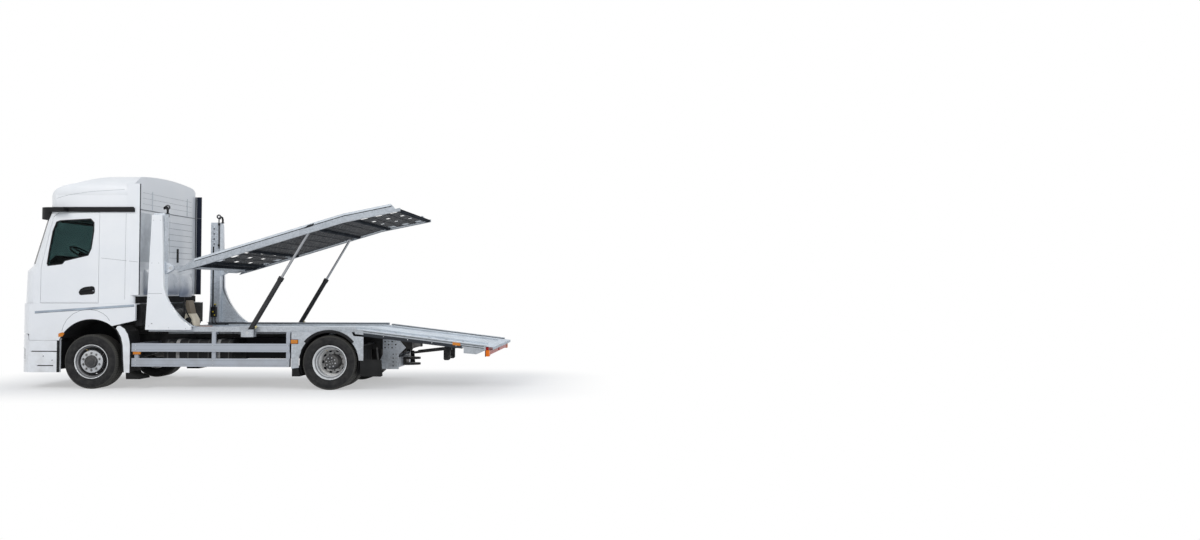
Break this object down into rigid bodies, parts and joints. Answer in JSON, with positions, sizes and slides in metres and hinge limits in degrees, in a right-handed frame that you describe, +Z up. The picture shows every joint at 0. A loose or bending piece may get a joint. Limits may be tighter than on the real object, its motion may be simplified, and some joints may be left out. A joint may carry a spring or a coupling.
{
  "type": "car transporter truck",
  "caption": "Rigid cab-over car transporter truck with a high-roof sleeper cab, a tilting upper deck on posts and cylinders, a flat lower deck and a sloping rear deck.",
  "frame": {"origin": "on the ground under the middle of the truck's length and width", "axes": "+X forward, +Y to the truck's left, +Z up"},
  "size_m": [8.46, 2.56, 3.7999],
  "materials": {
    "white_paint": "gloss white paint",
    "frame_paint": "satin black frame paint",
    "cast": "rough cast",
    "galvanised": "hot-dip galvanised, mottled",
    "aluminium": "satin",
    "dark_plastic": "grained",
    "deck_sheet": "dark weathered sheet",
    "glass": "tinted",
    "lamp_clear": "clear lens",
    "lamp_red": "red lens",
    "tyre": "worn rubber",
    "rim_steel": "silver",
    "chrome": "polished rod",
    "barrel_paint": "gloss black",
    "cab_trim": "soft grained"
  },
  "bodies": {
    "chassis": {"chassis_frame": "frame_paint", "engine_and_driveline": "cast", "front_axle": "frame_paint", "rear_axle": "frame_paint", "side_tanks": "aluminium", "side_guards": "aluminium", "front_bumper": "white_paint", "front_lamps": "lamp_clear", "mudguards": "dark_plastic", "lower_deck_frame": "galvanised", "lower_deck_floor": "galvanised", "deck_posts": "galvanised", "post_fairings": "white_paint", "coupling_carrier": "galvanised", "tow_coupling": "frame_paint"},
    "cab": {"cab_shell": "white_paint", "cab_roof": "white_paint", "windscreen": "glass", "grille_panel": "white_paint", "wheel_skirts": "white_paint", "roof_trim": "dark_plastic", "cab_interior": "cab_trim"},
    "door_left": {"door_left": "white_paint", "door_glass_left": "glass"},
    "door_right": {"door_right": "white_paint", "door_glass_right": "glass"},
    "upper_deck": {"upper_deck_frame": "galvanised", "upper_deck_floor": "deck_sheet"},
    "barrel_left": {"cylinder_barrel_left": "barrel_paint"},
    "barrel_right": {"cylinder_barrel_right": "barrel_paint"},
    "rod_left": {"cylinder_rod_left": "chrome"},
    "rod_right": {"cylinder_rod_right": "chrome"},
    "rear_deck": {"rear_deck_frame": "galvanised", "rear_deck_floor": "galvanised", "tail_lamps": "lamp_red"},
    "knuckle_left": {"knuckle_left": "cast"},
    "knuckle_right": {"knuckle_right": "cast"},
    "wheel_front_left": {"front_tyre_left": "tyre", "front_rim_left": "rim_steel"},
    "wheel_front_right": {"front_tyre_right": "tyre", "front_rim_right": "rim_steel"},
    "wheel_rear_left": {"rear_tyres_left": "tyre", "rear_rims_left": "rim_steel"},
    "wheel_rear_right": {"rear_tyres_right": "tyre", "rear_rims_right": "rim_steel"}
  },
  "joints": [
    {"name": "cab_tilt", "type": "hinge", "parent": "chassis", "child": "cab", "pos_m": [4.06, 0, 0.86], "axis": [0, 1, 0], "range_deg": [0, 60]},
    {"name": "door_left_hinge", "type": "hinge", "parent": "cab", "child": "door_left", "pos_m": [3.761, 1.15, 2.2], "axis": [0, 0, -1], "range_deg": [0, 70]},
    {"name": "door_right_hinge", "type": "hinge", "parent": "cab", "child": "door_right", "pos_m": [3.761, -1.15, 2.2], "axis": [0, 0, 1], "range_deg": [0, 70]},
    {"name": "steer_left", "type": "hinge", "parent": "chassis", "child": "knuckle_left", "pos_m": [2.81, 0.87, 0.475], "axis": [0, 0, 1], "range_deg": [-40, 40]},
    {"name": "steer_right", "type": "hinge", "parent": "chassis", "child": "knuckle_right", "pos_m": [2.81, -0.87, 0.475], "axis": [0, 0, 1], "range_deg": [-40, 40]},
    {"name": "wheel_front_left_spin", "type": "hinge", "parent": "knuckle_left", "child": "wheel_front_left", "pos_m": [2.81, 1.08, 0.475], "axis": [0, 1, 0], "continuous": true},
    {"name": "wheel_front_right_spin", "type": "hinge", "parent": "knuckle_right", "child": "wheel_front_right", "pos_m": [2.81, -1.08, 0.475], "axis": [0, 1, 0], "continuous": true},
    {"name": "wheel_rear_left_spin", "type": "hinge", "parent": "chassis", "child": "wheel_rear_left", "pos_m": [-1.39, 0.9075, 0.475], "axis": [0, 1, 0], "continuous": true},
    {"name": "wheel_rear_right_spin", "type": "hinge", "parent": "chassis", "child": "wheel_rear_right", "pos_m": [-1.39, -0.9075, 0.475], "axis": [0, 1, 0], "continuous": true},
    {"name": "deck_tilt", "type": "hinge", "parent": "chassis", "child": "upper_deck", "pos_m": [1.47, 0, 2.117], "axis": [0, 1, 0], "range_deg": [-20, 1]},
    {"name": "barrel_left_swing", "type": "hinge", "parent": "chassis", "child": "barrel_left", "pos_m": [0.05, 1.165, 0.985], "axis": [0, 1, 0], "range_deg": [-20.84, 1.05]},
    {"name": "barrel_right_swing", "type": "hinge", "parent": "chassis", "child": "barrel_right", "pos_m": [0.05, -1.165, 0.985], "axis": [0, 1, 0], "range_deg": [-20.84, 1.05]},
    {"name": "rod_left_slide", "type": "slide", "parent": "barrel_left", "child": "rod_left", "axis": [-0.5083, 0, 0.8612], "range_m": [-0.6305, 0.0316]},
    {"name": "rod_right_slide", "type": "slide", "parent": "barrel_right", "child": "rod_right", "axis": [-0.5083, 0, 0.8612], "range_m": [-0.6305, 0.0316]},
    {"name": "rear_deck_tilt", "type": "hinge", "parent": "chassis", "child": "rear_deck", "pos_m": [-1.84, 0, 0.985], "axis": [0, 1, 0], "range_deg": [-2, 7]}
  ],
  "couplings": [
    {"joint": "steer_right", "follows": "steer_left", "ratio": 1},
    {"joint": "barrel_left_swing", "follows": "deck_tilt", "ratio": 1.0419},
    {"joint": "barrel_right_swing", "follows": "deck_tilt", "ratio": 1.0419},
    {"joint": "rod_left_slide", "follows": "deck_tilt", "m_per_rad": 1.8052},
    {"joint": "rod_right_slide", "follows": "deck_tilt", "m_per_rad": 1.8052}
  ]
}
